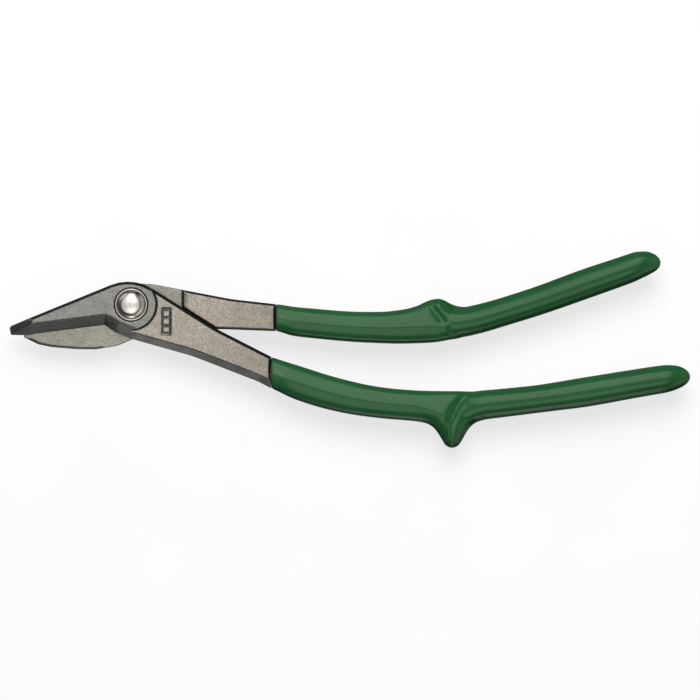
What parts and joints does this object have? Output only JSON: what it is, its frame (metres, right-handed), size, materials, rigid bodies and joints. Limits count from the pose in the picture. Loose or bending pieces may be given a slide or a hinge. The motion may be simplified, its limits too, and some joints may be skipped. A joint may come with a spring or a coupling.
{
  "type": "tinner's snips",
  "caption": "Plain offset sheet-metal snips: two forged steel levers on a domed pivot bolt, with glossy green vinyl grips, a finger guard and a thumb stop.",
  "frame": {"origin": "on the pivot axis, on the flat underside of the pivot nut", "axes": "+X from the pivot towards the handles, along the snips' length; +Y from the lower handle towards the upper one; +Z along the pivot axis, from the nut to the bolt's domed head"},
  "size_m": [0.2997, 0.0869, 0.0226],
  "materials": {
    "forged_steel": "satin, fine grain",
    "pivot_steel": "polished",
    "plain_steel": "turned",
    "green_vinyl": "glossy, smooth"
  },
  "bodies": {
    "upper_blade": {"upper_blade_lever": "forged_steel", "lower_grip": "green_vinyl", "pivot_bolt": "pivot_steel", "thrust_washer": "plain_steel", "disc_spring": "plain_steel", "pivot_nut": "plain_steel"},
    "lower_blade": {"lower_blade_lever": "forged_steel", "upper_grip": "green_vinyl"}
  },
  "joints": [
    {"name": "pivot", "type": "hinge", "parent": "upper_blade", "child": "lower_blade", "pos_m": [0, 0, 0.0125], "axis": [0, 0, 1], "range_deg": [0, 45]}
  ]
}
